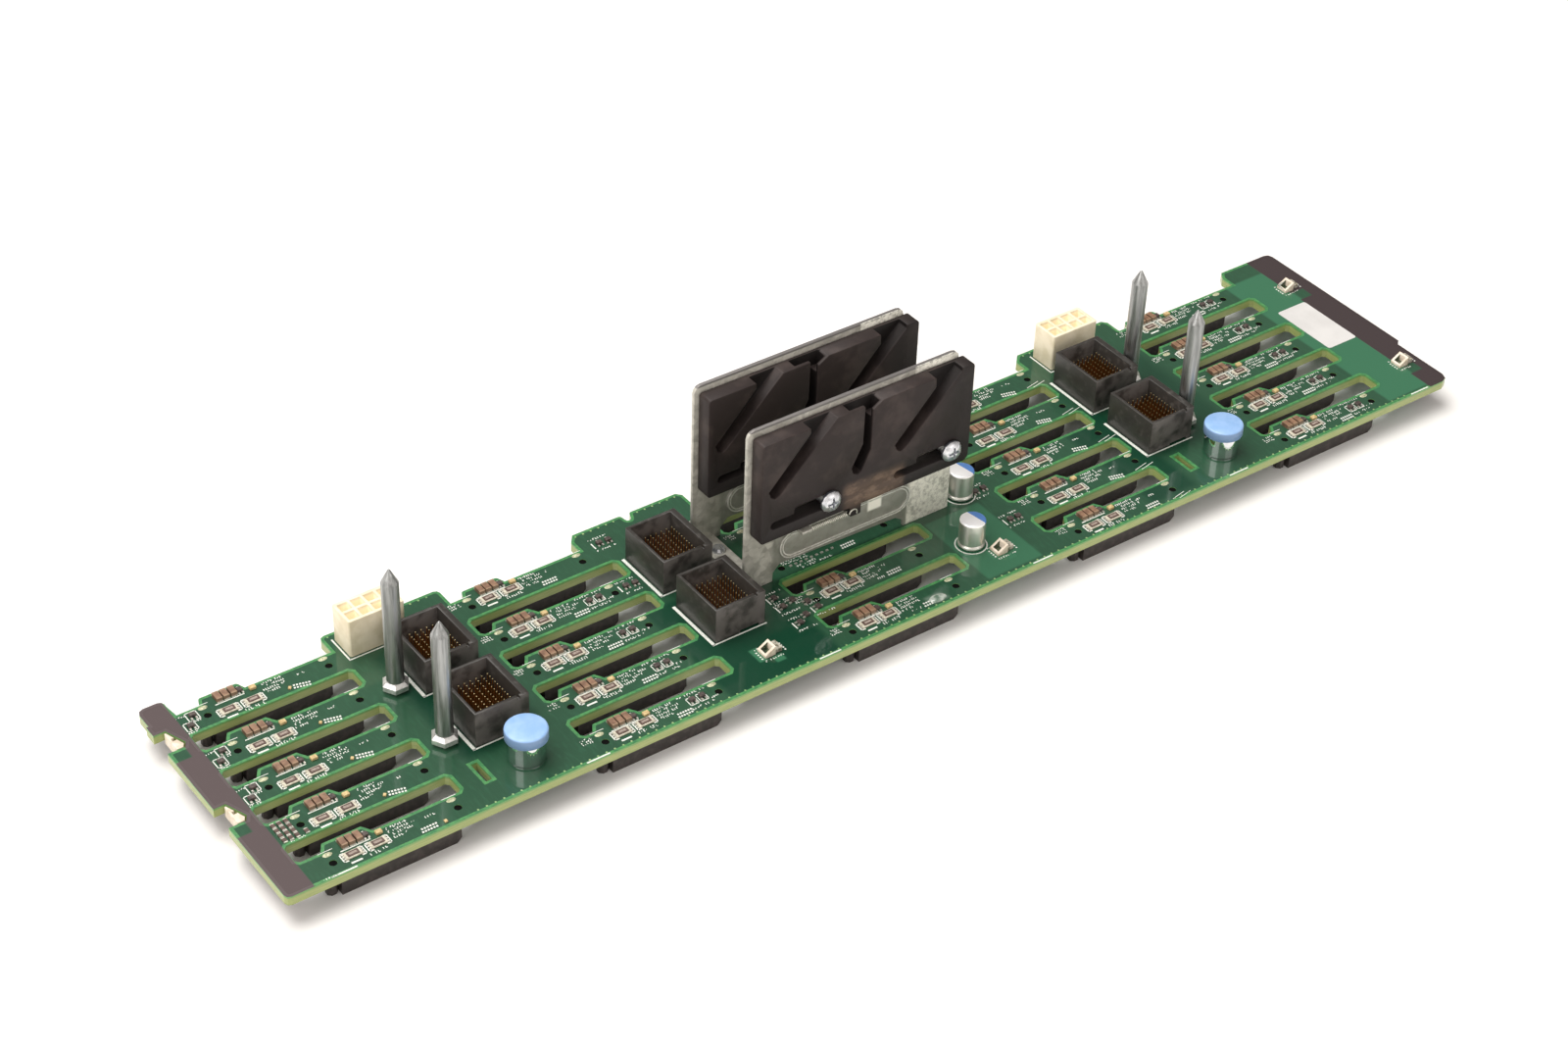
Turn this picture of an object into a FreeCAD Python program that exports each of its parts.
import FreeCAD
import Part
import math
import os

os.makedirs("parts", exist_ok=True)

# Millimetres, Z up. The origin is on the plane that the board's receptacles rest on,
# under the middle of the board; X runs along the board, Y from its front to its back edge.

# Grid of drive receptacles: five columns along X, five rows along Y
columns = 5
rows = 5
column_pitch = 84.62
row_pitch = 17.5
peg_spacing = 37.75
peg_hole_diameter = 2.4

# Board: margins round the grid of pegs, and its thickness over the receptacles
left_margin = 16.3
right_margin = 31.87
front_margin = 4.9
back_margin = 4.7
tab_height = 7.5
board_thickness = 3.0
receptacle_depth = 7.0
corner_radius = 1.5
right_corner_radius = 3.0
board_length = left_margin + (columns - 1) * column_pitch + peg_spacing + right_margin
board_depth = front_margin + (rows - 1) * row_pitch + back_margin + tab_height
edge_x = board_length / 2
edge_y = board_depth / 2
back_line = edge_y - tab_height
underside = receptacle_depth
board_top = underside + board_thickness
column_x = [left_margin - edge_x + column_pitch * column for column in range(columns)]
row_y = [front_margin - edge_y + row_pitch * row for row in range(rows)]

# Middle of the free board between one column's last peg and the next column's first
middle = [x + (peg_spacing + column_pitch) / 2 for x in column_x]

# Air slots between the rows, each with a raised bump in its front side
slot_front = 5.0
slot_corner = 1.0
slot_left = [-8.0, -4.3, -4.2, -7.8, -4.2]
slot_past_peg = [4.25, 8.25, 8.55, 2.55, 8.35]
bump_rise = 3.0
bump_left = -1.0
bump_right = 14.6
bump_slope = 1.9
back_bump_drop = 0.4
back_bump_corner = 0.8

# Sides of small round features that repeat many times
small_sides = 8


def rounded(corners, radius, steps):
    """Points of an outline whose corners are rounded by short chords.

    A corner is (x, y), or (x, y, radius) where its rounding differs from the others.
    """
    points = [FreeCAD.Vector(corner[0], corner[1], 0) for corner in corners]
    result = []
    for i, point in enumerate(points):
        corner_radius = corners[i][2] if len(corners[i]) > 2 else radius
        if corner_radius <= 0:
            result.append(point)
            continue
        to_before = (points[i - 1] - point).normalize()
        to_after = (points[(i + 1) % len(points)] - point).normalize()
        half = to_before.getAngle(to_after) / 2
        bisector = (to_before + to_after).normalize()
        centre = point + bisector * (corner_radius / math.sin(half))
        start = point + to_before * (corner_radius / math.tan(half)) - centre
        turn = math.pi - 2 * half
        side = to_before.cross(to_after).z
        for step in range(steps + 1):
            angle = math.copysign(turn * step / steps, -side)
            spoke = FreeCAD.Vector(start.x * math.cos(angle) - start.y * math.sin(angle),
                                   start.x * math.sin(angle) + start.y * math.cos(angle), 0)
            result.append(centre + spoke)
    return result


def face_of(points):
    return Part.Face(Part.makePolygon(points + [points[0]]))


def plate(corners, bottom, height, radius=0.0, steps=2):
    """Flat plate with the given outline, standing from bottom up by height."""
    solid = face_of(rounded(corners, radius, steps)).extrude(FreeCAD.Vector(0, 0, height))
    solid.translate(FreeCAD.Vector(0, 0, bottom))
    return solid


def upright(corners, front, thickness, radius=0.0, steps=3):
    """Upright plate drawn in X and Z, from its front face back along Y."""
    face = face_of(rounded(corners, radius, steps))
    face.rotate(FreeCAD.Vector(0, 0, 0), FreeCAD.Vector(1, 0, 0), 90)
    solid = face.extrude(FreeCAD.Vector(0, thickness, 0))
    solid.translate(FreeCAD.Vector(0, front, 0))
    return solid


def box(x0, x1, y0, y1, z0, z1):
    return Part.makeBox(x1 - x0, y1 - y0, z1 - z0, FreeCAD.Vector(x0, y0, z0))


def turned(profile, x, y, bottom, sides=24):
    """Turned solid with flat sides, from (radius, height) rings of its profile."""
    rings = []
    for radius, height in profile:
        ring = []
        for k in range(sides):
            angle = 2 * math.pi * (k + 0.5) / sides
            ring.append(FreeCAD.Vector(x + radius * math.cos(angle), y + radius * math.sin(angle),
                                       bottom + height))
        rings.append(ring)
    faces = [face_of(rings[0]), face_of(rings[-1])]
    for lower, upper in zip(rings, rings[1:]):
        for k in range(sides):
            j = (k + 1) % sides
            faces.append(face_of([lower[k], lower[j], upper[j], upper[k]]))
    solid = Part.makeSolid(Part.makeShell(faces))
    if solid.Volume < 0:
        solid.reverse()
    return solid


def save(name, pieces):
    """One STEP file for a node, from one solid or a list of separate solids."""
    shape = pieces if not isinstance(pieces, list) else Part.makeCompound(pieces)
    shape.exportStep("parts/" + name + ".step")


# Board: outline with hooks along the back edge and two notches on the left
def slot(column, row):
    x = column_x[column]
    left = x + slot_left[column]
    right = x + peg_spacing + slot_past_peg[column]
    front = row_y[row] + slot_front
    back = row_y[row + 1] - slot_front
    foot = x + bump_left
    corners = [
        (left, front, slot_corner),
        (foot, front),
        (foot + bump_slope, front + bump_rise),
        (x + bump_right - bump_slope, front + bump_rise),
        (x + bump_right, front),
        (right, front, slot_corner),
        (right, back, slot_corner),
        (left, back, slot_corner),
    ]
    return plate(corners, underside, board_thickness, 0, 1)


# Depth below the back edge at which a hook or bump is rooted in the board
tab_overlap = 2.0
root = tab_height + tab_overlap


def back_bump(column):
    x = column_x[column]
    front = edge_y - root
    back = row_y[rows - 1] + slot_front + bump_rise - back_bump_drop
    corners = [
        (x + bump_left, front),
        (x + bump_right, front),
        (x + bump_right - bump_slope, back, back_bump_corner),
        (x + bump_left + bump_slope, back, back_bump_corner),
    ]
    return plate(corners, underside, board_thickness)


# Corners of each hook: distance from its anchor, depth below the back edge, rounding
tabs = [
    (-edge_x, [(0.7, root, 0), (9.1, root, 0), (9.1, 7.15, 0), (8.5, 2.7, 0), (8.5, 0, 1.5), (0.7, 0, 2.0)]),
    (middle[0], [(-20.0, root, 0), (19.0, root, 0), (19.0, 0, 1.5), (-20.0, 0, 1.5)]),
    (middle[1], [(-21.5, root, 0), (19.2, root, 0), (19.2, 1.7, 0), (17.7, 0, 0), (1.0, 0, 0.8),
                 (-0.3, 3.2, 0.8), (-1.8, 3.2, 0.8), (-2.3, 0, 0.8), (-19.3, 0, 0), (-21.5, 2.9, 0)]),
    (middle[3], [(-20.25, root, 0), (21.25, root, 0), (19.45, 7.0, 0), (19.45, 1.7, 0), (17.95, 0, 0),
                 (-17.65, 0, 0), (-20.25, 2.8, 0)]),
    (edge_x, [(-23.5, root, 0), (0, root, 0), (0, 0, 2.0), (-21.6, 0, 0), (-23.5, 2.7, 0)]),
]

# Two notches in the left edge, under which a light looks out
notch_outline = [(-1.8, 4.35), (3.6, 4.5), (6.3, -2.4), (5.3, -4.2), (-1.8, -4.2)]
notch_drop = 4.0
notch_y = [row_y[rows - 1] - notch_drop, row_y[2] - notch_drop]
key_slot_shift = -11.0
key_slot_behind_row = 8.5
key_slot_x = [middle[0] + key_slot_shift, middle[3] + key_slot_shift]
key_slot_y = row_y[0] + key_slot_behind_row
key_slot_width = 2.0
key_slot_length = 8.0
right_step_behind_row = 2.3
right_step_y = row_y[1] + right_step_behind_row
right_step = 1.7
right_step_slope = 1.5
peg_profile = [(peg_hole_diameter / 2, 0), (peg_hole_diameter / 2, board_thickness)]


def make_board():
    body = plate([(-edge_x, -edge_y, corner_radius), (edge_x - right_step, -edge_y, right_corner_radius),
                  (edge_x - right_step, right_step_y - right_step_slope), (edge_x, right_step_y),
                  (edge_x, back_line), (-edge_x, back_line)], underside, board_thickness)
    for anchor, corners in tabs:
        outline = [(anchor + x, edge_y - depth, radius) for x, depth, radius in corners]
        body = body.fuse(plate(outline, underside, board_thickness))
    for column in range(columns):
        body = body.fuse(back_bump(column))
    cutters = []
    for y in notch_y:
        outline = [(x - edge_x, y + shift) for x, shift in notch_outline]
        cutters.append(plate(outline, underside, board_thickness))
    for x in column_x:
        for y in row_y:
            for peg_x in (x, x + peg_spacing):
                cutters.append(turned(peg_profile, peg_x, y, underside, small_sides))
    for column in range(columns):
        for row in range(rows - 1):
            cutters.append(slot(column, row))
    for x in key_slot_x:
        cutters.append(box(x - key_slot_width / 2, x + key_slot_width / 2,
                           key_slot_y - key_slot_length / 2, key_slot_y + key_slot_length / 2,
                           underside, board_top))
    return body.cut(Part.makeCompound(cutters)).removeSplitter()


save("board", make_board())


# Drive receptacles under the board: flange, body with a docking slot, one round post, and
# two pegs that stand in the board's holes
receptacle_half_width = 2.5
flange_thickness = 1.2
flange_left = -2.8
flange_past_peg = 2.75
body_left = 0.8
body_short_of_peg = 0.55
body_chamfer = 1.5
dock_slot_width = 1.6
dock_slot_depth = 4.6
dock_slot_margin = 2.2
post_diameter = 3.4
post_x = -1.1
post_end = 0.3
peg_clearance = 0.1
peg_below_top = 0.5
peg_radius = peg_hole_diameter / 2 - peg_clearance


def make_receptacle(x, y):
    body_right = peg_spacing - body_short_of_peg
    flange = box(x + flange_left, x + peg_spacing + flange_past_peg, y - receptacle_half_width,
                 y + receptacle_half_width, underside - flange_thickness, underside)
    corners = [(x + body_left, underside - flange_thickness), (x + body_left, 0),
               (x + body_right - body_chamfer, 0), (x + body_right, body_chamfer),
               (x + body_right, underside - flange_thickness)]
    body = upright(corners, y - receptacle_half_width, 2 * receptacle_half_width)
    dock = box(x + body_left + dock_slot_margin, x + body_right - dock_slot_margin,
               y - dock_slot_width / 2, y + dock_slot_width / 2, 0, dock_slot_depth)
    post = turned([(post_diameter / 2, post_end), (post_diameter / 2, underside - flange_thickness)],
                  x + post_x, y, 0, small_sides)
    pegs = [turned([(peg_radius, 0), (peg_radius, board_thickness - peg_below_top)], peg_x, y, underside,
                   small_sides) for peg_x in (x, x + peg_spacing)]
    return flange.fuse([body, post] + pegs).cut(dock).removeSplitter()


for column in range(columns):
    for row in range(rows):
        save("receptacle_c%d_r%d" % (column + 1, row + 1), make_receptacle(column_x[column], row_y[row]))


# Signal headers: open shrouds with a field of gold pins
shroud_width = 17.2
shroud_depth = 20.0
shroud_height = 11.7
shroud_wall = 1.0
shroud_thick_wall = 2.0
shroud_floor = 1.5
shroud_undercut = 0.8
slit_width = 0.7
slit_depth = 1.0
slit_inset = 1.6
shroud_shift = [1.5, -3.7, -9.05]
shroud_behind_row = [10.1, 1.6]
shroud_x = [middle[0] + shroud_shift[0], middle[1] + shroud_shift[1], middle[3] + shroud_shift[2]]
shroud_y = [row_y[1] + shroud_behind_row[0], row_y[3] + shroud_behind_row[1]]
pin_columns = 7
pin_rows = 10
pin_pitch_x = 1.86
pin_pitch_y = 1.3
pin_radius = 0.36
pin_sides = 3
pin_height = 8.8
pin_field_shift = (shroud_wall - shroud_thick_wall) / 2
pin_profile = [(pin_radius, shroud_floor), (pin_radius, pin_height)]


def make_shroud(x, y):
    left = x - shroud_width / 2
    right = x + shroud_width / 2
    front = y - shroud_depth / 2
    back = y + shroud_depth / 2
    top = board_top + shroud_height
    shell = box(left, right, front, back, board_top, top)
    well = box(left + shroud_wall, right - shroud_thick_wall, front + shroud_wall,
               back - shroud_wall, board_top + shroud_floor, top)
    undercut = box(x, right - shroud_thick_wall, front, front + shroud_wall,
                   board_top, board_top + shroud_undercut)
    slit_x = right - shroud_thick_wall - slit_inset
    slit = box(slit_x, slit_x + slit_width, front, front + shroud_wall, top - slit_depth, top)
    return shell.cut([well, undercut, slit]).removeSplitter()


def make_pins(x, y):
    pins = []
    for column in range(pin_columns):
        for row in range(pin_rows):
            pin_x = x + pin_field_shift + (column - (pin_columns - 1) / 2) * pin_pitch_x
            pin_y = y + (row - (pin_rows - 1) / 2) * pin_pitch_y
            pins.append(turned(pin_profile, pin_x, pin_y, board_top, pin_sides))
    return pins


header_number = 0
for y in shroud_y:
    for x in shroud_x:
        header_number += 1
        save("signal_shroud_%d" % header_number, make_shroud(x, y))
        save("signal_pins_%d" % header_number, make_pins(x, y))

# Power headers: cream housings with two rows of four square wells
power_length = 17.9
power_depth = 9.7
power_height = 12.8
power_pitch = 4.2
power_well = 3.3
power_floor = 2.5
power_pin_size = 1.1
power_pin_height = 9.0
power_corner = 0.4
power_shift = [-7.75, -4.95]
power_from_edge = 7.9
power_x = [middle[0] + power_shift[0], middle[3] + power_shift[1]]
power_y = edge_y - power_from_edge


def power_well_centres(x):
    centres = []
    for column in range(4):
        for row in range(2):
            centres.append((x + (column - 1.5) * power_pitch, power_y + (row - 0.5) * power_pitch))
    return centres


def make_power_header(x):
    half = power_length / 2
    corners = [(x - half, power_y - power_depth / 2), (x + half, power_y - power_depth / 2),
               (x + half, power_y + power_depth / 2), (x - half, power_y + power_depth / 2)]
    body = plate(corners, board_top, power_height, power_corner, 1)
    wells = []
    for well_x, well_y in power_well_centres(x):
        wells.append(box(well_x - power_well / 2, well_x + power_well / 2, well_y - power_well / 2,
                         well_y + power_well / 2, board_top + power_floor, board_top + power_height))
    return body.cut(wells)


power_pins = []
for x in power_x:
    save("power_header_%d" % (power_x.index(x) + 1), make_power_header(x))
    for pin_x, pin_y in power_well_centres(x):
        power_pins.append(box(pin_x - power_pin_size / 2, pin_x + power_pin_size / 2,
                              pin_y - power_pin_size / 2, pin_y + power_pin_size / 2,
                              board_top + power_floor, board_top + power_pin_height))
save("power_pins", power_pins)

# Guide pins: hexagonal foot, plain shank and pointed tip
guide_height = 42.5
guide_diameter = 5.1
guide_tip = 4.4
guide_tip_end = 0.35
hex_height = 3.0
hex_flats = 6.3
hex_bevel = 0.35
guide_gap = 5.7
hex_gap = 0.1
guide_x = [shroud_x[0] - shroud_width / 2 - guide_gap, shroud_x[2] + (shroud_width + hex_flats) / 2 + hex_gap]
guide_before_shroud = 3.1
guide_y = [y - guide_before_shroud for y in shroud_y]


def make_guide_pin(x, y):
    """True round shank and point, because modules slide over it; hexagonal foot."""
    centre = FreeCAD.Vector(x, y, board_top)
    reach = hex_flats / math.sqrt(3)
    foot = turned([(reach, 0), (reach, hex_height - hex_bevel), (reach - hex_bevel, hex_height)],
                  x, y, board_top, 6)
    shank = Part.makeCylinder(guide_diameter / 2, guide_height - guide_tip - hex_height,
                              centre + FreeCAD.Vector(0, 0, hex_height))
    tip = Part.makeCone(guide_diameter / 2, guide_tip_end, guide_tip,
                        centre + FreeCAD.Vector(0, 0, guide_height - guide_tip))
    return foot.fuse([shank, tip])


save("guide_pins", [make_guide_pin(x, y) for x in guide_x for y in guide_y])

# Knobs: bright turned posts with pale plastic caps pressed over them
post_knob_diameter = 11.0
post_knob_height = 7.2
knob_groove = 0.35
cap_diameter = 12.3
cap_top = 10.6
cap_edge = 0.5
groove_top = 0.6
groove_slope = 0.3
knob_shift = 2.5
knob_behind_row = 6.95
knob_x = [middle[0] + knob_shift, middle[3] + knob_shift]
knob_y = row_y[0] + knob_behind_row

for x in knob_x:
    number = knob_x.index(x) + 1
    radius = post_knob_diameter / 2
    post_profile = [(radius - knob_groove, 0), (radius - knob_groove, groove_top), (radius, groove_top + groove_slope),
                    (radius, post_knob_height)]
    save("knob_post_%d" % number, turned(post_profile, x, knob_y, board_top))
    cap = cap_diameter / 2
    rounding = cap_edge * 0.3
    cap_profile = [(cap, post_knob_height), (cap, cap_top - cap_edge), (cap - rounding, cap_top - rounding),
                   (cap - cap_edge, cap_top)]
    save("knob_cap_%d" % number, turned(cap_profile, x, knob_y, board_top))

# Bracket: one folded sheet with two upright plates joined by foot rails
sheet = 1.2
bracket_gap = 2.3
bracket_width = 75.5
bracket_height = 57.6
bracket_left = shroud_x[1] + shroud_width / 2 + bracket_gap
bracket_right = bracket_left + bracket_width
bracket_top = board_top + bracket_height
plate_behind_shroud = 3.8
plate_front = [y + plate_behind_shroud for y in shroud_y]
plate_corner = 2.5

# Opening between the feet: distance from the left edge, height over the board, rounding
arch_outline = [(10.4, 0, 0), (10.4, 3.1, 0.5), (12.8, 5.6, 1.0), (55.3, 4.2, 1.0), (58.5, 2.2, 0), (58.5, 0, 0)]
rail_inset = 1.5
rail_width = 6.5
rail_tail = 9.6
bead_left = 12.0
bead_right = 59.8
bead_low = 7.0
bead_high = 16.7
bead_depth = 0.8
hook_place = 18.4
hook_width = 3.6
hook_x = bracket_left + hook_place
hook_reach = 5.5
hook_low = 17.7

# Slide plates: two moulded plates that run along the bracket's front faces
cam_inset = 1.5
cam_length = 75.7
cam_lift = 20.7
cam_height = 34.7
cam_thickness = 5.2
cam_gap = 0.3
cam_corner = 1.0
cam_left = bracket_left + cam_inset
cam_low = board_top + cam_lift
lug_left = 32.1
lug_width = 4.0
lug_drop = 3.4
lug_corner = 0.6

# Cam grooves do not go through; their outlines are (distance, height) from their low ends
groove_depth = 4.0
groove_start = [(4.4, 16.6), (49.4, 15.2)]
groove_outline = [(-1.9, 1.2), (-1.1, -0.9), (0.4, -1.9), (1.9, -1.3), (21.8, 18.3), (21.8, 22.0), (11.9, 22.0),
                  (12.2, 16.3)]
middle_groove = [(35.8, 36.0), (35.6, 21.7), (31.9, 14.4), (32.6, 12.2), (34.4, 11.3), (35.6, 12.0), (38.7, 18.6),
                 (38.7, 32.5), (42.6, 34.8), (42.6, 36.0)]
pocket_left = 30.8
pocket_right = 41.5
pocket_low = 29.7
pocket_wall = 1.2
pocket_back_wall = 0.8

# Windows that run over the screws, with a lower relief at their far end
travel = 10.0
window_height = 5.0
relief_length = 8.2
relief_height = 2.7
screw_place = [24.2, 68.5]
screw_lift = 27.0
screw_x = [cam_left + place for place in screw_place]
screw_z = board_top + screw_lift
screw_head_diameter = 7.0
screw_head_height = 2.0
screw_head_edge = 0.7
screw_shank_diameter = window_height - 2 * cam_gap
recess_length = 3.8
recess_width = 0.7
recess_bottom = 1.1


def window(x, front):
    """Cutter for the window that slides over the screw at x."""
    half = window_height / 2
    low = screw_z - half
    left = x - half - travel
    far = left - relief_length
    corners = [(far, low, relief_height / 2 - 0.05), (x + half, low, half - 0.05),
               (x + half, low + window_height, half - 0.05), (left, low + window_height, half / 2),
               (left, low + relief_height), (far, low + relief_height, relief_height / 2 - 0.05)]
    return upright(corners, front, cam_thickness)


def make_slide_plate(plate_face):
    back = plate_face - cam_gap
    front = back - cam_thickness
    lug = cam_left + lug_left
    corners = [(cam_left, cam_low, cam_corner), (lug, cam_low), (lug, cam_low - lug_drop, lug_corner),
               (lug + lug_width, cam_low - lug_drop, lug_corner), (lug + lug_width, cam_low),
               (cam_left + cam_length, cam_low, 2 * cam_corner),
               (cam_left + cam_length, cam_low + cam_height, cam_corner), (cam_left, cam_low + cam_height, cam_corner)]
    body = upright(corners, front, cam_thickness)
    cutters = [window(x, front) for x in screw_x]
    for start_x, start_z in groove_start:
        outline = [(cam_left + start_x + x, cam_low + start_z + z) for x, z in groove_outline]
        cutters.append(upright(outline, front, groove_depth))
    cutters.append(upright([(cam_left + x, cam_low + z) for x, z in middle_groove], front, groove_depth))
    cutters.append(box(cam_left + pocket_left, cam_left + pocket_right, front + pocket_wall,
                       back - pocket_back_wall, cam_low + pocket_low, cam_low + cam_height))
    return body.cut(cutters).removeSplitter()


def make_slide_screw(x, plate_face):
    """Pan-head screw along Y: shank from the bracket, cross-recessed head over the window."""
    length = cam_thickness + 2 * cam_gap
    radius = screw_head_diameter / 2
    profile = [(screw_shank_diameter / 2, -length), (screw_shank_diameter / 2, 0), (radius, 0),
               (radius, screw_head_edge), (radius * 0.78, screw_head_height * 0.8), (radius * 0.4, screw_head_height)]
    screw = turned(profile, 0, 0, 0, 12)
    reach = recess_length / 2
    half = recess_width / 2
    recess = box(-reach, reach, -half, half, recess_bottom, screw_head_height)
    recess = recess.fuse(box(-half, half, -reach, reach, recess_bottom, screw_head_height))
    screw = screw.cut(recess)
    screw.rotate(FreeCAD.Vector(0, 0, 0), FreeCAD.Vector(1, 0, 0), 90)
    screw.translate(FreeCAD.Vector(x, plate_face - length, screw_z))
    return screw


def stadium(low, high, left, right, front, thickness):
    corners = [(left, low), (right, low), (right, high), (left, high)]
    return upright(corners, front, thickness, (high - low) / 2 - 0.05)


def make_bracket():
    left = bracket_left + bead_left
    right = bracket_left + bead_right
    low = board_top + bead_low
    high = board_top + bead_high
    pieces = []
    dents = []
    for face in plate_front:
        corners = [(bracket_left, board_top)]
        corners += [(bracket_left + x, board_top + z, radius) for x, z, radius in arch_outline]
        corners += [(bracket_right, board_top), (bracket_right, bracket_top, plate_corner),
                    (bracket_left, bracket_top, plate_corner)]
        pieces.append(upright(corners, face, sheet))
        pieces.append(stadium(low, high, left, right, face - bead_depth, bead_depth))
        pieces.append(box(hook_x - hook_width / 2, hook_x + hook_width / 2, face - hook_reach, face,
                          board_top + hook_low, board_top + hook_low + sheet))
        dents.append(stadium(low + sheet, high - sheet, left + sheet, right - sheet,
                             face + sheet - bead_depth, bead_depth))
    for rail in (bracket_left + rail_inset, bracket_right - rail_inset - rail_width):
        pieces.append(box(rail, rail + rail_width, plate_front[0], plate_front[1] + rail_tail,
                          board_top, board_top + sheet))
    return pieces[0].fuse(pieces[1:]).cut(dents).removeSplitter()


save("bracket", make_bracket())
for number in range(2):
    save("slide_plate_%d" % (number + 1), make_slide_plate(plate_front[number]))
save("slide_screws", [make_slide_screw(x, face) for face in plate_front for x in screw_x])

# Return springs: wound wire between a bracket hook and the lug of the slide plate
spring_diameter = 2.2
spring_wire = 0.5
spring_turns = 9
spring_sides = 6
spring_end_gap = 0.4
spring_offset = 4.6
spring_left = hook_x + hook_width / 2
spring_right = cam_left + lug_left - spring_end_gap
spring_drop = 2.4
spring_z = cam_low - spring_drop


def make_spring(face):
    """Square wire wound in short straight steps round an axis along X."""
    steps = spring_turns * spring_sides
    length = spring_right - spring_left - spring_wire
    inner = spring_diameter / 2 - spring_wire
    sections = []
    for step in range(steps + 1):
        angle = 2 * math.pi * step / spring_sides
        x = spring_left + length * step / steps
        section = []
        for shift, radius in ((0, inner), (spring_wire, inner), (spring_wire, inner + spring_wire),
                              (0, inner + spring_wire)):
            section.append(FreeCAD.Vector(x + shift, face - spring_offset + radius * math.cos(angle),
                                          spring_z + radius * math.sin(angle)))
        sections.append(section)
    faces = [face_of(sections[0]), face_of(sections[-1])]
    for near, far in zip(sections, sections[1:]):
        for k in range(4):
            j = (k + 1) % 4
            faces.append(face_of([near[k], near[j], far[j]]))
            faces.append(face_of([near[k], far[j], far[k]]))
    coil = Part.makeSolid(Part.makeShell(faces))
    if coil.Volume < 0:
        coil.reverse()
    return coil


for number in range(2):
    save("spring_%d" % (number + 1), make_spring(plate_front[number]))

# Bracket screws: low pan heads that hold the foot rails down
rail_screw_before_plate = 6.9
rail_screw_y = plate_front[1] - rail_screw_before_plate
rail_screw_diameter = 4.2
rail_screw_edge = 0.6
rail_screw_height = 1.4
rail_screws = []
for x in (bracket_left + rail_inset + rail_width / 2, bracket_right - rail_inset - rail_width / 2):
    radius = rail_screw_diameter / 2
    rail_screws.append(turned([(radius, 0), (radius, rail_screw_edge), (radius * 0.7, rail_screw_height)],
                              x, rail_screw_y, board_top + sheet, 12))
save("bracket_screws", rail_screws)

# Can capacitors: aluminium cans crimped round a rubber seal that sits on the board
can_diameter = 8.0
can_height = 9.5
seal_diameter = 7.0
seal_height = 0.5
can_bead = 8.3
bead_height = 0.8
neck_inset = 0.3
can_edge = 0.4
can_beside_bracket = [-5.5, 6.8]
can_behind_row = [13.0, -1.0]
can_x = [bracket_right + shift for shift in can_beside_bracket]
can_y = [row_y[0] + can_behind_row[0], row_y[2] + can_behind_row[1]]

for number in range(2):
    radius = can_diameter / 2
    bead = can_bead / 2
    neck = seal_height + bead_height + neck_inset
    profile = [(seal_diameter / 2, 0), (seal_diameter / 2, seal_height), (bead, seal_height),
               (bead, seal_height + bead_height), (radius - neck_inset, neck),
               (radius - neck_inset, neck + neck_inset), (radius, neck + 2 * neck_inset),
               (radius, can_height - can_edge), (radius - can_edge, can_height)]
    save("can_capacitor_%d" % (number + 1), turned(profile, can_x[number], can_y[number], board_top, 20))

# Side-looking lights: a square window in a sloping face, with a low block behind it.
# Four stand on the board; two hang under it and look out through the notches.
light_depth = 4.1
light_length = 3.6
light_low = 0.9
light_high = 3.0
light_window = 2.5
light_window_depth = 1.6
block_length = 2.6
block_depth = 3.6
block_height = 1.4
light_shift = [(-4.45, 6.15), (-2.4, 5.9), (-12.0, -6.9), (-11.2, 10.1)]
light_anchor = [(middle[1], row_y[0]), (bracket_right, row_y[0]), (edge_x, row_y[rows - 1]), (edge_x, row_y[0])]
light_places = [(x + right, y + back) for (x, y), (right, back) in zip(light_anchor, light_shift)]

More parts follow.
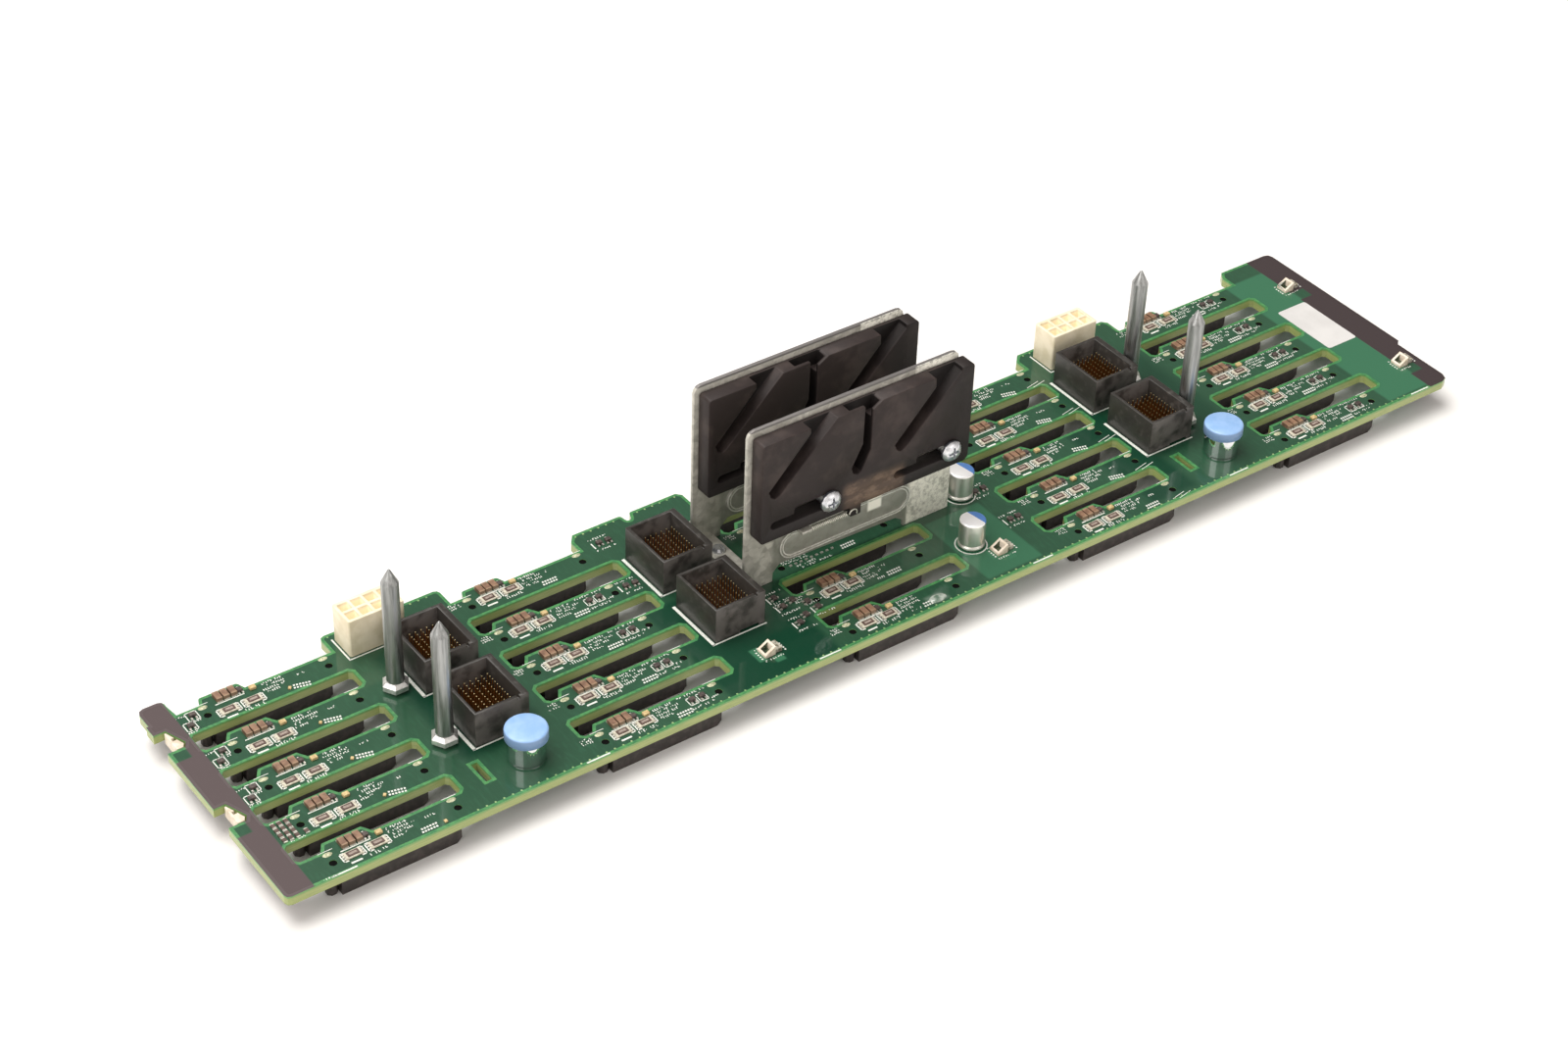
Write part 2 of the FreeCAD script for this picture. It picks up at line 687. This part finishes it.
# Lights under the notches: outline beside the left edge, and the foot that holds them
notch_light = [(3.0, 4.0), (3.45, 4.0), (5.75, -2.3), (5.0, -3.6), (3.0, -3.6)]
notch_light_drop = 0.3
notch_well = 1.2
notch_well_inset = 0.6
foot_left = 3.0
foot_length = 6.5
foot_thickness = 0.8


def make_light(x, y):
    """Wedge whose sloping face rises from x, with a square well in it and a block behind it."""
    half = light_depth / 2
    right = x + light_length
    wedge = upright([(x, board_top), (right, board_top), (right, board_top + light_high),
                     (x, board_top + light_low)], y - half, light_depth)
    side = (light_length - light_window) / 2
    middle_height = board_top + (light_low + light_high) / 2
    well = box(x + side, right - side, y - light_window / 2, y + light_window / 2,
               middle_height - light_window_depth, board_top + light_high)
    block = box(right, right + block_length, y + half - block_depth, y + half, board_top,
                board_top + block_height)
    return wedge.cut(well).fuse(block)


lights = [make_light(x, y) for x, y in light_places]
for y in notch_y:
    foot = box(foot_left - edge_x, foot_left + foot_length - edge_x, y + notch_light[-1][1], y + notch_light[0][1],
               underside - foot_thickness, underside)
    light = plate([(x - edge_x, y + shift) for x, shift in notch_light], underside - foot_thickness,
                  foot_thickness + board_thickness - notch_light_drop)
    well_x = foot_left + notch_well_inset - edge_x
    well = box(well_x, well_x + notch_well, y, y + notch_well, underside, board_top)
    lights.append(foot.fuse(light).cut(well))
save("light_frames", lights)

# Three chip capacitors at the head of every strip
cap_x = [5.4, 7.6, 9.9]
cap_y = 4.75
cap_length = 1.8
cap_depth = 3.3
cap_height = 1.3
capacitors = []
for x in column_x:
    for y in row_y:
        for shift in cap_x:
            capacitors.append(box(x + shift - cap_length / 2, x + shift + cap_length / 2,
                                  y + cap_y - cap_depth / 2, y + cap_y + cap_depth / 2,
                                  board_top, board_top + cap_height))
save("strip_capacitors", capacitors)

# Plain label near the right end
label_left = 22.4
label_right = 10.2
label_behind_row = 11.5
label_past_row = 1.2
label_thickness = 0.12
label_corner = 0.7
label_front = row_y[1] + label_behind_row
label_back = row_y[3] + label_past_row
label_corners = [(edge_x - label_left, label_front), (edge_x - label_right, label_front),
                 (edge_x - label_right, label_back), (edge_x - label_left, label_back)]
save("label", plate(label_corners, board_top, label_thickness, label_corner))
